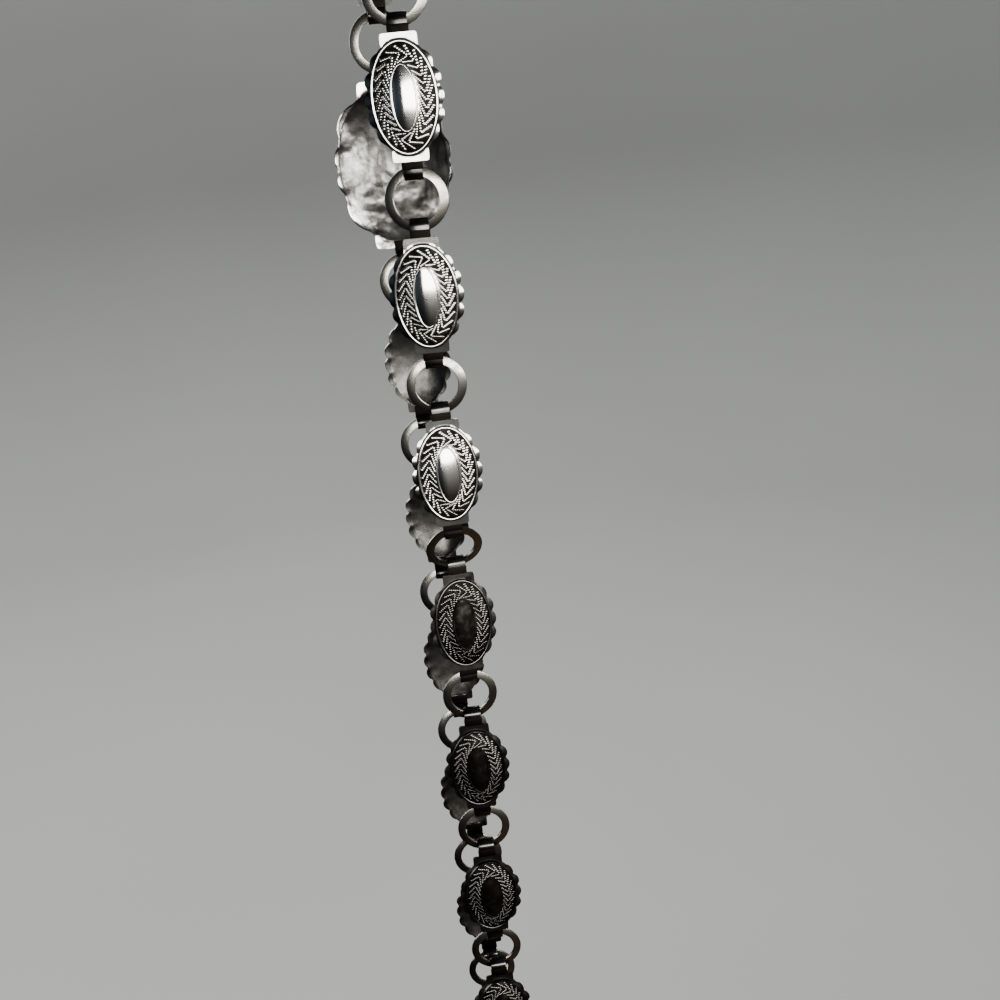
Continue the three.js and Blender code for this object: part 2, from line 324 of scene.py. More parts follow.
def strapPlate(earAt):
    length = tab["strapTuck"] + tab["strapReach"]
    bpy.ops.mesh.primitive_cube_add(size=1)
    strap = bpy.context.object
    bpy.ops.object.mode_set(mode="EDIT")
    bpy.ops.transform.resize(value=(tab["strapWidth"], length, tab["sheet"]),
                             center_override=atMiddle)
    bpy.ops.transform.translate(value=(0, earAt + tab["strapReach"] - length / 2,
                                       tab["rollMiddleRadius"]))
    bpy.ops.mesh.subdivide(number_cuts=2)
    bpy.ops.object.mode_set(mode="OBJECT")
    softenEdges(strap, tab["strapEdge"])
    # painted shade: the strap's polish is set below zero so it renders black
    setPolish(strap, lambda co, normal: tab["strapPaintedShade"])
    smooth(strap, 40)
    return strap


# Concho: scalloped and eared plate, raised oval with a herringbone of rope strokes, smooth middle

smallConcho = {
    "width": 21.5,
    "length": 32.8,
    "earWidth": 10.0,
    "earSquare": 7,              # higher is squarer
    # middles across and along, and radius, as shares of the half width and half length
    "scallops": ((0.7, 0, 0.3), (0.7, 0.277, 0.26), (0.462, 0.515, 0.3275)),
    "scallopRise": 0.06,         # swell of each scallop
    "scallopRound": 0.3,         # share of the swell that is gone at the edge
    "scallopFall": 0.21,         # slope of the scallops towards their edge, at the sides
    "brim": 0.5,                 # plate shown in the valleys between scallops
    "flank": 0.12,               # lean of the raised oval's wall
    "domeWidth": 18.1,           # the raised oval
    "domeLength": 29.2,
    "plateTop": 2.95,            # heights are above the middle of the rolls
    "rimTop": 4.0,
    "rimWidth": 0.74,
    "rimLit": 0.3,               # the rim is rubbed this far down from its top
    "wallPolish": 0.05,
    "bandDrop": 0.5,             # band's floor below the rim
    "innerDrop": 0.32,           # and below the foot of the middle
    "middleFoot": 5.15,
    "crown": 5.68,
    "cabochonWidth": 6.2,        # the smooth middle
    "cabochonLength": 16.4,
    "bezel": 0.55,
    "sheet": 0.7,
    "dish": 2.5,                 # depth of the hollow back
    "dishPower": 0.85,           # lower is fuller
    "dishShift": 0.0,            # its deepest point, up the chain
    "strokesARow": 26,
    "strokeReach": 3.7,          # how far a stroke trails along the band
    "beadSize": 1.12,
    "frontDents": 0.015,
    "backPolish": 0.22,
    "backDents": 0.3,
    "backLobes": 0.14,           # polish on the backs of the scallops
    "backPaintedShade": 0.0,            # painted shade in the back, up the chain and to one side
    "shadeFrom": 0.3,            # share of it at the middle
    "shadeSlope": (1.3, -1.17),  # gained up the chain and across it, over half the oval's length
    "middlePolish": 0.97,
    "rimPolish": 0.85,
    "scallopPolish": 0.66,
    "beadPolish": 0.8,
}
largeConcho = dict(
    smallConcho,
    width=36.0,
    length=49.4,
    earWidth=17.2,
    earSquare=4,
    scallops=((0.7, 0.12, 0.302), (0.412, 0.4335, 0.4806)),
    scallopRise=0.45,
    scallopFall=0.16,
    brim=0.35,
    flank=1.0,
    domeWidth=31.4,
    domeLength=44.2,
    rimTop=5.37,
    rimWidth=1.2,
    bandDrop=0.6,
    middleFoot=6.7,
    crown=8.3,
    cabochonWidth=16.6,
    cabochonLength=26.4,
    bezel=0.7,
    dish=3.7,
    dishShift=4.5,
    strokesARow=36,
    strokeReach=4.6,
    beadSize=1.45,
    backPolish=0.46,
    backDents=0.6,
    backLobes=0.85,
    backPaintedShade=0.3,
)
paintedShadeConcho = dict(
    smallConcho,                 # painted shade: a darker copy of the same plate for the lower links
    backPolish=0.07,
    backLobes=0.02,
    middlePolish=0.0,
    rimPolish=0.3,
    scallopPolish=0.05,
    beadPolish=0.37,
)
ovalSteps = 180
rowGrowth = 1.02                 # each row of the plate starts this much wider than the last
skirtShares = (0.12, 0.3, 0.5, 0.68, 0.83, 0.94, 1.0)


def bandEdges(size):
    outer = (size["domeWidth"] / 2 - size["rimWidth"], size["domeLength"] / 2 - size["rimWidth"])
    inner = (size["cabochonWidth"] / 2 + size["bezel"], size["cabochonLength"] / 2 + size["bezel"])
    return inner, outer


def bandFloor(size):
    return size["middleFoot"] - size["innerDrop"], size["rimTop"] - size["bandDrop"]


def profileRings(size):
    # Half width, half length and height of each ring of the raised oval, from its foot to the crown
    halfWide = size["domeWidth"] / 2
    halfLong = size["domeLength"] / 2
    rim = size["rimTop"]
    foot = size["middleFoot"]
    inner, outer = bandEdges(size)
    floorIn, floorOut = bandFloor(size)
    width = size["rimWidth"]
    flank = size["flank"]
    # the wall, which leans out by the flank
    rings = [
        (halfWide + flank, halfLong + flank, size["plateTop"] + 0.3),
        (halfWide + 0.35 * flank, halfLong + 0.35 * flank, (size["plateTop"] + rim) / 2 - 0.2),
    ]
    # the flat-topped rim: how far in, as a share of its width, and how far below its top
    for inwards, drop in ((0.01, 0.4), (0.04, 0.12), (0.1, 0.03), (0.2, 0.005), (0.45, 0.0),
                          (0.72, 0.01), (0.84, 0.08), (0.95, size["bandDrop"] - 0.06)):
        rings.append((halfWide - inwards * width, halfLong - inwards * width, rim - drop))
    for share in (1.0, 0.75, 0.5, 0.25, 0.0):
        rings.append((
            inner[0] + (outer[0] - inner[0]) * share,
            inner[1] + (outer[1] - inner[1]) * share,
            floorIn + (floorOut - floorIn) * share,
        ))
    bezel = size["bezel"]
    groove = 0.12                                         # between the bezel and the middle
    for inwards, drop in ((0.12, 0.16), (0.35, 0.03), (0.58, 0.0), (0.82, 0.05), (1.0, groove)):
        rings.append((inner[0] - inwards * bezel, inner[1] - inwards * bezel, foot - drop))
    rise = size["crown"] - foot + groove
    for out in (0.93, 0.84, 0.73, 0.6, 0.46, 0.31, 0.15):
        rings.append((
            (inner[0] - bezel) * out,
            (inner[1] - bezel) * out,
            foot - groove + rise * (1 - out ** 2.1),
        ))
    rings.append((0, 0, size["crown"]))
    return rings


def scallopCircles(size):
    # Middle, radius and outward direction of each scallop
    circles = []
    for across, along, radius in size["scallops"]:
        x = across * size["width"] / 2
        y = along * size["length"] / 2
        facing = Vector((x / size["domeWidth"] ** 2, y / size["domeLength"] ** 2)).normalized()
        for signX, signY in ((1, 1), (1, -1), (-1, 1), (-1, -1)):
            middle = Vector((x * signX, y * signY))
            outward = Vector((facing.x * signX, facing.y * signY))
            circles.append((middle, radius * size["width"] / 2, outward))
    return circles


def skirtPoint(size, turned, share):
    # Point of the plate beyond the oval: share 0 at the oval's foot, 1 at the scalloped edge
    halfWide = size["domeWidth"] / 2 + size["flank"]
    halfLong = size["domeLength"] / 2 + size["flank"]
    foot = Vector((halfWide * math.cos(turned), halfLong * math.sin(turned)))
    facing = Vector((math.cos(turned) / halfWide, math.sin(turned) / halfLong)).normalized()
    reach = size["brim"]
    circles = scallopCircles(size)
    for middle, radius, outward in circles:
        away = middle - foot
        along = away.dot(facing)
        beyond = along ** 2 - away.length_squared + radius ** 2
        if beyond > 0:
            reach = max(reach, along + math.sqrt(beyond))
    arch = 0.0
    edge = foot + facing * reach
    for middle, radius, outward in circles:
        if (edge - middle).dot(outward) > 0:
            arch = max(arch, 1 - ((edge - middle).cross(outward) / radius) ** 2)
    onEar = False
    halfEar = size["earWidth"] / 2
    if abs(foot.x) < halfEar:
        toEnd = max((size["length"] / 2 - abs(foot.y)) / abs(facing.y), 1e-4)
        toSide = max((halfEar - abs(foot.x)) / max(abs(facing.x), 1e-6), 1e-4)
        power = size["earSquare"]
        earReach = (toEnd ** -power + toSide ** -power) ** (-1 / power)
        if earReach > reach:
            reach = earReach
            arch = 0.0
            onEar = True
    point = foot + facing * reach * share
    fall = 0.0 if onEar else size["scallopFall"] * abs(facing.x) * reach * (1 - share)
    lift = arch * size["scallopRise"] * (1 - size["scallopRound"] * share ** 4) + fall
    return Vector((point.x, point.y, size["plateTop"] + lift))


def conchoSheet(size):
    rings = profileRings(size)
    bpy.ops.mesh.primitive_circle_add(vertices=ovalSteps, radius=1)
    sheet = bpy.context.object
    bpy.ops.object.mode_set(mode="EDIT")
    bpy.ops.transform.rotate(value=math.radians(180 / ovalSteps), orient_axis="Z",
                             center_override=atMiddle)
    wide, long, height = rings[0]
    bpy.ops.transform.resize(value=(wide, long, 1), center_override=atMiddle)
    bpy.ops.transform.translate(value=(0, 0, height))
    for nextWide, nextLong, nextHeight in rings[1:-1]:
        bpy.ops.mesh.extrude_region()
        bpy.ops.transform.resize(value=(nextWide / wide, nextLong / long, 1),
                                 center_override=atMiddle)
        bpy.ops.transform.translate(value=(0, 0, nextHeight - height))
        wide, long, height = nextWide, nextLong, nextHeight
    bpy.ops.mesh.extrude_region()
    bpy.ops.mesh.merge(type="CENTER")
    bpy.ops.transform.translate(value=(0, 0, rings[-1][2] - height))

    # The plate: rows drawn out from the oval's foot, then laid on the scallops and ears
    bpy.ops.mesh.select_mode(type="EDGE")
    bpy.ops.mesh.select_all(action="DESELECT")
    bpy.ops.mesh.select_non_manifold()
    for _ in skirtShares:
        bpy.ops.mesh.extrude_region()
        bpy.ops.transform.resize(value=(rowGrowth, rowGrowth, 1), center_override=atMiddle)
    bpy.ops.mesh.select_mode(type="VERT")
    bpy.ops.object.mode_set(mode="OBJECT")
    halfWide, halfLong = rings[0][0], rings[0][1]
    for vertex in sheet.data.vertices:
        swell = math.hypot(vertex.co.x / halfWide, vertex.co.y / halfLong)
        row = round(math.log(max(swell, 1e-6)) / math.log(rowGrowth))
        turned = math.atan2(vertex.co.y / halfLong, vertex.co.x / halfWide)
        if row > 0:
            vertex.co = skirtPoint(size, turned, skirtShares[row - 1])
        elif abs(swell - 1) < 1e-4 and vertex.co.z < rings[0][2] + 1e-4:
            vertex.co.z = skirtPoint(size, turned, 0).z + 0.05
    outwards(sheet)
    faceUp(sheet)
    frontCount = len(sheet.data.vertices)
    applyModifier(sheet, "SOLIDIFY", {"thickness": size["sheet"], "offset": -1,
                                      "use_even_offset": False})
    hollowBack(size, sheet, frontCount)
    return sheet


def hollowBack(size, sheet, frontCount):
    # The punch leaves a soft dish behind the sharp front.
    # The back's points come after the front's, in the same order.
    halfWide = size["domeWidth"] / 2 + size["flank"]
    halfLong = size["domeLength"] / 2 + size["flank"]
    liftFade = 12                                         # the scallops' lift dies away inwards
    for i in range(frontCount):
        front = sheet.data.vertices[i].co
        swell = math.hypot(front.x / halfWide, front.y / halfLong)
        if swell > 1.001:                                 # past the oval's foot
            continue
        turned = math.atan2(front.y / halfLong, front.x / halfWide)
        lift = skirtPoint(size, turned, 0).z - size["plateTop"]
        edge = size["plateTop"] - size["sheet"] + lift * swell ** liftFade
        shiftedLong = front.y - size["dishShift"] * (1 - swell * swell)
        out = min(1.0, math.hypot(front.x / halfWide, shiftedLong / halfLong))
        deep = edge + size["dish"] * (1 - out * out) ** size["dishPower"]
        sheet.data.vertices[i + frontCount].co = (front.x, front.y, deep)


def faceUp(sheet):
    sheet.data.update()
    crownFace = max(sheet.data.polygons, key=lambda face: face.center.z)
    if crownFace.normal.z < 0:
        selectOnly(sheet)
        bpy.ops.object.mode_set(mode="EDIT")
        bpy.ops.mesh.select_all(action="SELECT")
        bpy.ops.mesh.flip_normals()
        bpy.ops.object.mode_set(mode="OBJECT")


def sheetPolish(size):
    inner, outer = bandEdges(size)
    halfWide = size["domeWidth"] / 2
    halfLong = size["domeLength"] / 2

    def polishAt(co, normal):
        swell = math.hypot(co.x / (halfWide + size["flank"]), co.y / (halfLong + size["flank"]))
        if normal.z < facesBack:
            if swell > rowGrowth:
                return size["backLobes"]
            # painted shade: the back is darkened up the chain and to one side
            slopeUp, slopeAcross = size["shadeSlope"]
            shade = size["shadeFrom"] + (slopeUp * co.y + slopeAcross * co.x) / halfLong
            return size["backPolish"] - size["backPaintedShade"] * min(1, max(0, shade))
        outSwell = math.hypot(co.x / outer[0], co.y / outer[1])
        inSwell = math.hypot(co.x / inner[0], co.y / inner[1])
        if swell > rowGrowth:
            return size["scallopPolish"]
        if outSwell > 1.004:
            lit = co.z > size["rimTop"] - size["rimLit"]
            return size["rimPolish"] if lit else size["wallPolish"]
        if inSwell > 1.002:
            return 0.0                                    # blackened floor of the herringbone
        return size["middlePolish"]
    return polishAt


# One rope stroke, laid along X: a row of slanted beads with a flat foot

stroke = {
    "beads": 6,
    "pitch": 0.62,
    "halfLength": 0.42,
    "halfWidth": 0.5,
    "halfHeight": 0.33,
    "slant": -14,                # degrees
    "foot": -0.08,               # cut flat below this height
    "flatTop": 0.22,             # and worn flat above this one
    "darkBelow": 0.07,           # blackened up to this height
    "polishRise": 5.5,           # polish gained for each millimetre above it
    # where a stroke of each row starts and ends across the band, and its size
    "rows": ((0.52, 0.94, 1.0), (0.48, 0.08, 0.8)),
}


def ropeStroke(beadPolish):
    def polishAt(co, normal):
        return min(beadPolish, max(0.0, (co.z - stroke["darkBelow"]) * stroke["polishRise"]))

    beads = []
    for i in range(stroke["beads"]):
        bpy.ops.mesh.primitive_uv_sphere_add(segments=8, ring_count=6, radius=1)
        bead = bpy.context.object
        bpy.ops.object.mode_set(mode="EDIT")
        bpy.ops.mesh.select_all(action="SELECT")
        bpy.ops.transform.resize(
            value=(stroke["halfLength"], stroke["halfWidth"], stroke["halfHeight"]),
            center_override=atMiddle)
        bpy.ops.transform.rotate(value=math.radians(stroke["slant"]), orient_axis="Z",
                                 center_override=atMiddle)
        bpy.ops.mesh.bisect(plane_co=(0, 0, stroke["foot"]), plane_no=(0, 0, 1), clear_inner=True,
                            use_fill=True)
        bpy.ops.mesh.select_all(action="SELECT")
        bpy.ops.mesh.bisect(plane_co=(0, 0, stroke["flatTop"]), plane_no=(0, 0, 1), clear_outer=True,
                            use_fill=True)
        bpy.ops.mesh.select_all(action="SELECT")
        bpy.ops.transform.translate(value=((i - (stroke["beads"] - 1) / 2) * stroke["pitch"], 0, 0))
        bpy.ops.object.mode_set(mode="OBJECT")
        setPolish(bead, polishAt)
        smooth(bead, 60)
        beads.append(bead)
    return joinPieces(beads)


def bandPoint(size, turned, share):
    inner, outer = bandEdges(size)
    floorIn, floorOut = bandFloor(size)
    return Vector((
        (inner[0] + (outer[0] - inner[0]) * share) * math.cos(turned),
        (inner[1] + (outer[1] - inner[1]) * share) * math.sin(turned),
        floorIn + (floorOut - floorIn) * share,
    ))


def evenTurns(size, count):
    # Angles at equal steps round the middle of the band
    fine = 720
    points = [bandPoint(size, 2 * math.pi * i / fine, 0.5) for i in range(fine + 1)]
    lengths = [0.0]
    for here, there in zip(points, points[1:]):
        lengths.append(lengths[-1] + (there - here).length)
    turns = []
    at = 0
    for i in range(count):
        wanted = lengths[-1] * (i + 0.5) / count
        while lengths[at] < wanted:
            at += 1
        turns.append(2 * math.pi * at / fine)
    return turns


def turnedBy(size, turned, share, distance):
    # The angle that lies the given distance further round at that share of the band
    step = math.radians(0.5)
    gone = 0.0
    here = bandPoint(size, turned, share)
    while gone < distance:
        turned += step
        there = bandPoint(size, turned, share)
        gone += (there - here).length
        here = there
    return turned


def herringbone(size, master):
    strokes = []
    for turned in evenTurns(size, size["strokesARow"]):
        for near, far, reach in stroke["rows"]:
            start = bandPoint(size, turned, near)
            trailed = turnedBy(size, turned, (near + far) / 2, size["strokeReach"] * reach)
            end = bandPoint(size, trailed, far)
            along = (end - start).normalized()
            middle = (start + end) / 2
            middleTurned = math.atan2(middle.y, middle.x)
            slope = bandPoint(size, middleTurned, 1) - bandPoint(size, middleTurned, 0)
            up = slope.cross(Vector((-slope.y, slope.x, 0))).normalized()
            up = -up if up.z < 0 else up
            side = up.cross(along).normalized()
            up = along.cross(side)
            stretch = (end - start).length / (stroke["beads"] * stroke["pitch"])
            broad = size["beadSize"] * reach
            turn = Matrix((along * stretch, side * broad, up * size["beadSize"])).transposed()
            copy = bpy.data.objects.new("stroke", master.data.copy())
            bpy.context.collection.objects.link(copy)
            copy.data.transform(Matrix.Translation(middle) @ turn.to_4x4())
            strokes.append(copy)
    return strokes


def makeConcho(size):
    sheet = conchoSheet(size)
    setPolish(sheet, sheetPolish(size),
              lambda co, normal: size["backDents"] if normal.z < facesBack else size["frontDents"])
    smooth(sheet, 38)
    master = ropeStroke(size["beadPolish"])
    pieces = [sheet] + herringbone(size, master)
    bpy.data.objects.remove(master)
    for end in (1, -1):
        earAt = size["length"] / 2
        parts = [
            strapPlate(earAt),
            rolledTab(tab["reach"] + tab["strapTuck"], tab["sweep"], earAt + tab["reach"]),
        ]
        for part in parts:
            part.data.transform(Matrix.Rotation(0 if end > 0 else math.pi, 4, "Z"))
        pieces += parts
    concho = joinPieces(pieces)
    concho.data.materials.clear()
    concho.data.materials.append(conchoSilver)
    return concho


# Flat bevelled ring

ring = {
    "outerDiameter": 17.9,
    "band": 2.6,
    "innerThickness": 1.0,
    "outerThickness": 0.5,       # the faces fall a little towards the outside
    "edge": 0.16,
    "turnSteps": 96,
}


def makeRing():
    middle = (ring["outerDiameter"] - ring["band"]) / 2
    bpy.ops.mesh.primitive_plane_add(size=1)
    piece = bpy.context.object
    bpy.ops.object.mode_set(mode="EDIT")
    bpy.ops.transform.resize(value=(ring["band"], ring["innerThickness"], 1),
                             center_override=atMiddle)
    bpy.ops.object.mode_set(mode="OBJECT")
    for vertex in piece.data.vertices:
        if vertex.co.x > 0:
            vertex.co.y *= ring["outerThickness"] / ring["innerThickness"]
    bpy.ops.object.mode_set(mode="EDIT")
    bpy.ops.mesh.select_all(action="SELECT")
    bpy.ops.mesh.bevel(affect="VERTICES", offset=ring["edge"], segments=2)
    bpy.ops.mesh.select_all(action="SELECT")
    bpy.ops.transform.rotate(value=math.radians(90), orient_axis="X", center_override=atMiddle)
    bpy.ops.transform.translate(value=(middle, 0, 0))
    bpy.ops.mesh.spin(steps=ring["turnSteps"], angle=math.radians(360), center=(0, 0, 0),
                      axis=(0, 0, 1))
    bpy.ops.mesh.select_all(action="SELECT")
    bpy.ops.mesh.remove_doubles(threshold=0.001)
    bpy.ops.mesh.select_all(action="DESELECT")
    bpy.ops.mesh.select_interior_faces()
    bpy.ops.mesh.delete(type="ONLY_FACE")
    bpy.ops.object.mode_set(mode="OBJECT")
    outwards(piece)
    smooth(piece, 22)
    piece.data.materials.append(ringSilver)
    return piece


# Hook: two strips end to end, with a closed roll at one end and an open roll at the other

hook = {
    "span": 24.0,                # between the middles of its rolls
    "openSweep": 215,            # degrees
    "lap": 0.1,                  # each strip runs this far past the middle
}


def makeHook():
    half = hook["span"] / 2
    closed = rolledTab(half + hook["lap"], tab["sweep"], half)
    opened = rolledTab(half + hook["lap"], hook["openSweep"], half)
    opened.data.transform(Matrix.Rotation(math.pi, 4, "Z"))
    piece = joinPieces([closed, opened])
    piece.data.materials.clear()
    piece.data.materials.append(hookSilver)
    return piece


# Where each link hangs, from the CAD: its middle in mm, its direction along the chain, and its facing

linkPlaces = [
    ("concho_01", (0.175, -1.426, -5.009), (0.1172, -0.9541, 0.2756), (0.0000, 0.2776, 0.9607)),
    ("ring_01", (2.397, -19.809, -7.024), (-0.0062, 0.0106, -0.9999), (0.0000, -0.9999, -0.0106)),
    ("concho_02", (2.238, -19.536, -33.72), (-0.0059, 0.0101, -0.9999), (0.0000, -1.0000, -0.0101)),
    ("ring_02", (2.096, -19.297, -60.418), (-0.0039, 0.0060, -1.0000), (-0.0698, -0.9976, -0.0057)),
    ("concho_03", (2.021, -19.218, -87.116), (-0.0024, 0.0018, -1.0000), (-0.1392, -0.9903, -0.0014)),
    ("ring_03", (1.962, -19.167, -113.815), (-0.0018, 0.0022, -1.0000), (-0.1132, -0.9936, -0.0020)),
    ("concho_04", (1.912, -19.011, -140.513), (-0.0019, 0.0072, -1.0000), (-0.0872, -0.9962, -0.0070)),
    ("ring_04", (1.861, -18.787, -167.21), (-0.0018, 0.0114, -0.9999), (0.0000, -0.9999, -0.0114)),
    ("concho_05", (1.813, -19.52, -193.891), (-0.0018, -0.0422, -0.9991), (0.0872, -0.9953, 0.0419)),
    ("ring_05", (1.764, -17.114, -219.829), (-0.0020, 0.4384, -0.8988), (0.0959, -0.8945, -0.4366)),
    ("concho_06", (1.692, -15.434, -245.722), (-0.0030, -0.0797, -0.9968), (0.1045, -0.9914, 0.0790)),
    ("ring_06", (1.607, -16.756, -272.355), (-0.0037, 0.0301, -0.9995), (0.0523, -0.9982, -0.0303)),
    ("concho_07", (1.499, -15.9, -299.04), (-0.0042, 0.0328, -0.9994), (0.0000, -0.9995, -0.0328)),
    ("ring_07", (1.383, -15.031, -325.725), (-0.0047, 0.0320, -0.9995), (0.0000, -0.9995, -0.0320)),
    ("concho_08", (1.249, -14.247, -352.411), (-0.0052, 0.0284, -0.9996), (0.0000, -0.9996, -0.0284)),
    ("ring_08", (1.107, -13.502, -379.099), (-0.0056, 0.0267, -0.9996), (0.0000, -0.9996, -0.0267)),
    ("concho_09", (0.937, -12.768, -405.787), (-0.0067, 0.0278, -0.9996), (0.0000, -0.9996, -0.0278)),
    ("ring_09", (0.749, -12.229, -432.478), (-0.0080, 0.0002, -1.0000), (0.0000, -1.0000, -0.0002)),
    ("concho_10", (0.488, -11.193, -459.148), (-0.0105, 0.0535, -0.9985), (0.0000, -0.9986, -0.0535)),
    ("ring_10", (0.144, -5.494, -484.146), (-0.0193, 0.6346, -0.7726), (0.0000, -0.7727, -0.6347)),
    ("hook_clasp", (-0.201, 4.793, -479.225), (-0.0169, 0.4687, 0.8832), (0.0000, 0.8833, -0.4687)),
    ("ring_11", (-0.462, 10.184, -461.282), (-0.0078, -0.0318, 0.9995), (0.0000, 0.9995, 0.0318)),
    ("concho_11", (-0.646, 9.048, -434.609), (-0.0065, -0.0466, 0.9989), (0.0000, 0.9989, 0.0466)),
    ("ring_12", (-0.817, 8.123, -407.931), (-0.0062, -0.0031, 1.0000), (0.0000, 1.0000, 0.0031)),
    ("concho_12", (-0.975, 8.186, -381.233), (-0.0058, 0.0045, 1.0000), (0.0000, 1.0000, -0.0045)),
    ("ring_13", (-1.131, 8.39, -354.536), (-0.0059, 0.0160, 0.9999), (-0.0349, 0.9993, -0.0162)),
    ("concho_13", (-1.294, 9.159, -327.85), (-0.0062, 0.0337, 0.9994), (-0.0698, 0.9970, -0.0340)),
    ("ring_14", (-1.46, 10.146, -301.171), (-0.0063, 0.0457, 0.9989), (-0.0349, 0.9983, -0.0459)),
    ("concho_14", (-1.624, 11.353, -274.5), (-0.0061, 0.0450, 0.9990), (0.0000, 0.9990, -0.0450)),
    ("ring_15", (-1.783, 12.485, -247.826), (-0.0057, 0.0357, 0.9993), (0.0349, 0.9988, -0.0354)),
    ("concho_15", (-1.93, 13.322, -221.141), (-0.0054, 0.0297, 0.9995), (0.0698, 0.9971, -0.0292)),
    ("ring_16", (-2.074, 14.086, -194.453), (-0.0052, 0.0259, 0.9997), (0.0349, 0.9991, -0.0257)),
    ("concho_16", (-2.203, 14.723, -167.762), (-0.0047, 0.0231, 0.9997), (0.0000, 0.9997, -0.0231)),
    ("ring_17", (-2.328, 15.317, -141.071), (-0.0047, 0.0202, 0.9998), (0.0000, 0.9998, -0.0202)),
    ("large_concho", (-2.486, 15.906, -106.077), (-0.0045, 0.0159, 0.9999), (0.0000, 0.9999, -0.0159)),
    ("ring_18", (-2.611, 16.442, -71.083), (-0.0002, 0.0131, 0.9999), (0.0000, 0.9999, -0.0131)),
    ("concho_17", (-2.443, 16.727, -44.387), (0.0088, 0.0098, 0.9999), (0.0000, 1.0000, -0.0098)),
    ("ring_19", (-2.182, 16.976, -17.69), (0.0123, 0.0081, 0.9999), (0.0000, 1.0000, -0.0081)),
]


def placeLink(master, row):
    name, middle, along, facing = row
    along = Vector(along).normalized()
    facing = Vector(facing)
    facing = (facing - along * facing.dot(along)).normalized()
    sideways = along.cross(facing)
    turn = Matrix((sideways, along, facing)).transposed().to_4x4()
    mesh = master.data.copy()
    mesh.transform(Matrix.Scale(0.001, 4) @ Matrix.Translation(Vector(middle)) @ turn)
    piece = bpy.data.objects.new(name + "_finished", mesh)
    bpy.context.collection.objects.link(piece)
    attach(piece, "root")
    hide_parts(name)
    return piece


masters = {
    "concho": makeConcho(smallConcho),
    "paintedShade": makeConcho(paintedShadeConcho),
    "large": makeConcho(largeConcho),
    "ring": makeRing(),
    "hook": makeHook(),
}
# painted shade: these links get the darker copy of the plate
lowerLinks = ["concho_%02d" % number for number in range(6, 15)]
for kind, master in masters.items():
    triangles = sum(len(face.vertices) - 2 for face in master.data.polygons)
    print("modelled", kind, triangles, "triangles")

for row in linkPlaces:
    kind = "paintedShade" if row[0] in lowerLinks else row[0].split("_")[0]
    placeLink(masters[kind], row)
for master in masters.values():
    bpy.data.objects.remove(master)
print("links hung:", len(linkPlaces))


# Room: pale cove, a wide window in front to the right, and a dim room in the reflections

room = {
    "floor": -640,               # mm
    "radius": 1650,
    "bend": 450,
    "height": 1900,
}


def makeCove():
    # Round cove: floor, bend and wall in one sheet all the way round
    bpy.ops.mesh.primitive_circle_add(vertices=96, radius=(room["radius"] - room["bend"]) / 1000,
                                      fill_type="TRIFAN")
    cove = bpy.context.object
    cove.name = "cove"
    bpy.ops.object.mode_set(mode="EDIT")
    bpy.ops.transform.translate(value=(0, 0, room["floor"] / 1000))
    bpy.ops.mesh.select_mode(type="EDGE")
    bpy.ops.mesh.select_all(action="DESELECT")
    bpy.ops.mesh.select_non_manifold()
    wide = room["radius"] - room["bend"]
    high = 0
    for turned in range(6, 91, 6):
        nextWide = room["radius"] - room["bend"] * (1 - math.sin(math.radians(turned)))
        nextHigh = room["bend"] * (1 - math.cos(math.radians(turned)))
        bpy.ops.mesh.extrude_region()
        bpy.ops.transform.resize(value=(nextWide / wide, nextWide / wide, 1),
                                 center_override=atMiddle)
        bpy.ops.transform.translate(value=(0, 0, (nextHigh - high) / 1000))
        wide, high = nextWide, nextHigh
    bpy.ops.mesh.extrude_region()
    bpy.ops.transform.translate(value=(0, 0, room["height"] / 1000))
    bpy.ops.mesh.select_all(action="SELECT")
    bpy.ops.mesh.normals_make_consistent(inside=True)
    bpy.ops.object.mode_set(mode="OBJECT")
    smooth(cove, 60)
    return cove


plasterLook = {
    "dark": "#b8b9b5",
    "light": "#bdbeba",
    "cloudsToAMetre": 2.2,
    "towardsFar": (0, 0.5, 1),   # up and back, the way the painted shade darkens the wall
    "shadeFrom": -0.495,         # m that way
    "shadeTo": 0.765,
    "shadeNear": 1.09,
    "shadeFar": 0.75,
    "roughness": 0.9,
}


def plasterMaterial(look):
    # Matt painted plaster: faint clouds, with painted shade making it a little darker towards the far
    # wall
    material, tree, surface = newMaterial("MattPlaster")
    place = addNode(tree, "ShaderNodeTexCoord")
    cloud = addNode(tree, "ShaderNodeTexNoise", {"Scale": look["cloudsToAMetre"], "Detail": 3},
                    {"Vector": place.outputs["Object"]})
    colour = addNode(tree, "ShaderNodeValToRGB", None, {"Fac": cloud.outputs["Fac"]})
    setRamp(colour, [(0.3, look["dark"]), (0.7, look["light"])])
    far = addNode(tree, "ShaderNodeVectorMath",
                  {"operation": "DOT_PRODUCT", 1: look["towardsFar"]},
                  {0: place.outputs["Object"]})
    shade = addNode(tree, "ShaderNodeMapRange",
                    {"From Min": look["shadeFrom"], "From Max": look["shadeTo"],
                     "To Min": look["shadeNear"], "To Max": look["shadeFar"]},
                    {"Value": far.outputs["Value"]})
    grey = addNode(tree, "ShaderNodeCombineColor", None,
                   {"Red": shade.outputs["Result"], "Green": shade.outputs["Result"],
                    "Blue": shade.outputs["Result"]})
    tinted = addNode(tree, "ShaderNodeMix",
                     {"data_type": "RGBA", "blend_type": "MULTIPLY", "Factor": 1},
                     {"A": colour.outputs["Color"], "B": grey.outputs["Color"]})
    tree.links.new(tinted.outputs["Result"], surface.inputs["Base Color"])
    surface.inputs["Roughness"].default_value = look["roughness"]
    return material


cove = makeCove()
cove.data.materials.append(plasterMaterial(plasterLook))
cove.visible_glossy = False                                # the metal sees the room, not the cove
cove.visible_diffuse = False
cove.visible_shadow = False


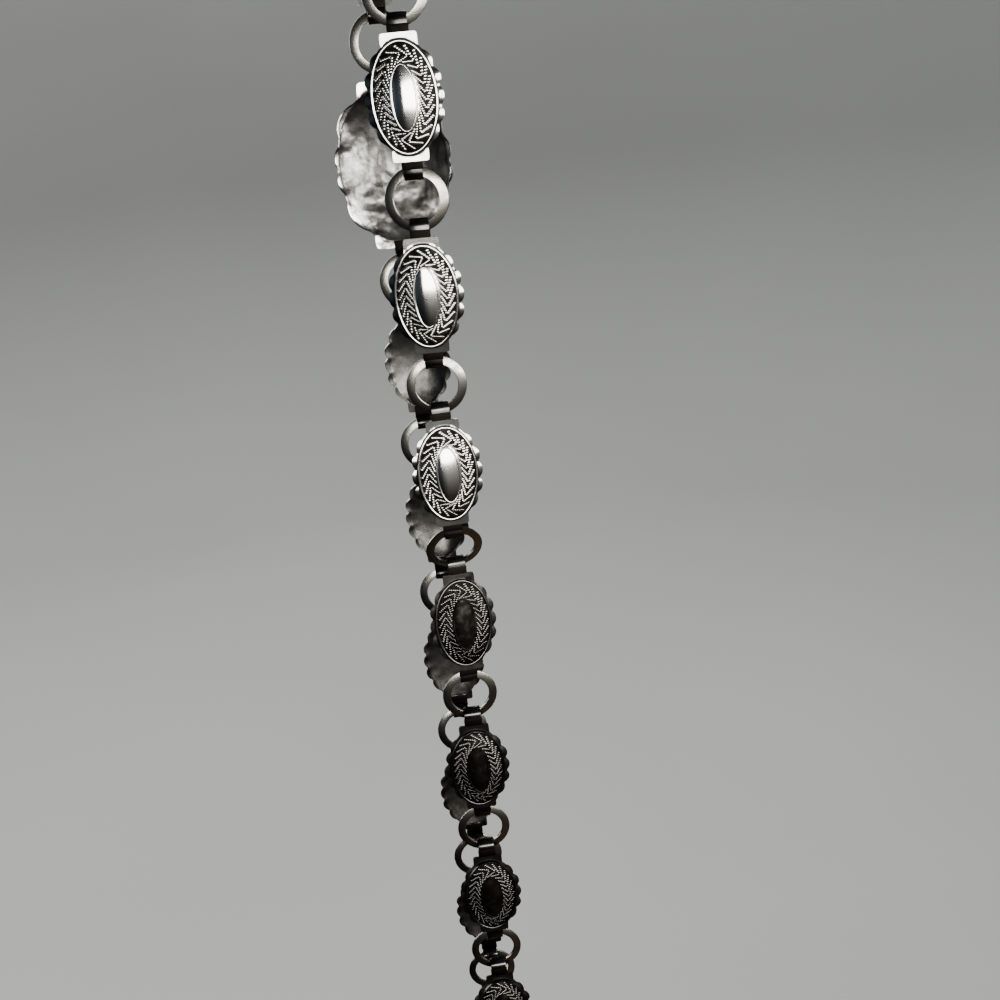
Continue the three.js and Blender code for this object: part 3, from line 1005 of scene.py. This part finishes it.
lamps = {                        # places and sizes in mm, power in watts
    "window": {"place": (843, -2160, -15), "target": (0, -20, -85), "size": (3660, 700),
               "power": 121, "colour": "#fffdf8", "glossOnly": True},
    "leftPane": {"place": (-950, 240, -60), "target": (0, -20, -60), "size": (520, 620),
                 "power": 7, "colour": "#f2f6f8", "glossOnly": True},
    "backPane": {"place": (-500, 1500, 260), "target": (0, 0, -150), "size": (1700, 700),
                 "power": 22, "colour": "#fbfbf8", "glossOnly": True},
    "ceilingGlow": {"place": (-250, 420, 1300), "target": (0, 0, -300), "size": (1600, 1600),
                    "power": 50, "colour": "#f4f6f4", "glossOnly": False},
}


def addLamp(name, lamp):
    place = Vector(lamp["place"]) / 1000
    bpy.ops.object.light_add(type="AREA", location=place)
    light = bpy.context.object
    light.name = name
    light.rotation_mode = "QUATERNION"
    light.rotation_quaternion = (Vector(lamp["target"]) / 1000 - place).to_track_quat("-Z", "Y")
    light.data.shape = "RECTANGLE"
    light.data.size = lamp["size"][0] / 1000
    light.data.size_y = lamp["size"][1] / 1000
    light.data.energy = lamp["power"]
    light.data.color = hexColour(lamp["colour"])[:3]
    if lamp["glossOnly"]:                                 # the metal sees it, the plaster doesn't
        light.visible_diffuse = False
    else:
        light.visible_glossy = False


# Reflections: colours from straight down (0) to straight up (1), and from far left (0) to far right (1)
roomTints = {
    "Z": [(0.0, "#565048"), (0.07, "#5a4838"), (0.19, "#403127"), (0.25, "#2a1f1a"),
          (0.28, "#3b3431"), (0.33, "#5e5c5a"), (0.395, "#858685"), (0.43, "#b4b5b4"),
          (0.5, "#dcdddc"), (0.57, "#c4c8c9"), (0.61, "#5a6064"), (0.68, "#3c4043"),
          (1.0, "#4a4d50")],
    "X": [(0.0, "#aab2b8"), (0.12, "#48535e"), (0.33, "#36414c"), (0.43, "#9a9ea0"),
          (0.54, "#ececea"), (1.0, "#ffffff")],
}


def makeWorld(tints):
    # A dim room: warm floor below, grey above, darkest and a little blue to the left of the camera
    world = bpy.data.worlds.new("DimRoom")
    bpy.context.scene.world = world
    world.use_nodes = True
    tree = world.node_tree
    sky = tree.nodes["Background"]
    place = addNode(tree, "ShaderNodeTexCoord")
    split = addNode(tree, "ShaderNodeSeparateXYZ", None, {"Vector": place.outputs["Generated"]})
    ramps = {}
    for axis, stops in tints.items():
        share = addNode(tree, "ShaderNodeMapRange", {"From Min": -1.0, "From Max": 1.0},
                        {"Value": split.outputs[axis]})
        ramps[axis] = addNode(tree, "ShaderNodeValToRGB", None, {"Fac": share.outputs["Result"]})
        setRamp(ramps[axis], stops)
    tinted = addNode(tree, "ShaderNodeMix",
                     {"data_type": "RGBA", "blend_type": "MULTIPLY", "Factor": 1},
                     {"A": ramps["Z"].outputs["Color"], "B": ramps["X"].outputs["Color"]})
    tree.links.new(tinted.outputs["Result"], sky.inputs["Color"])
    sky.inputs["Strength"].default_value = 1.0


makeWorld(roomTints)
for name, lamp in lamps.items():
    addLamp(name, lamp)
print("room lit")
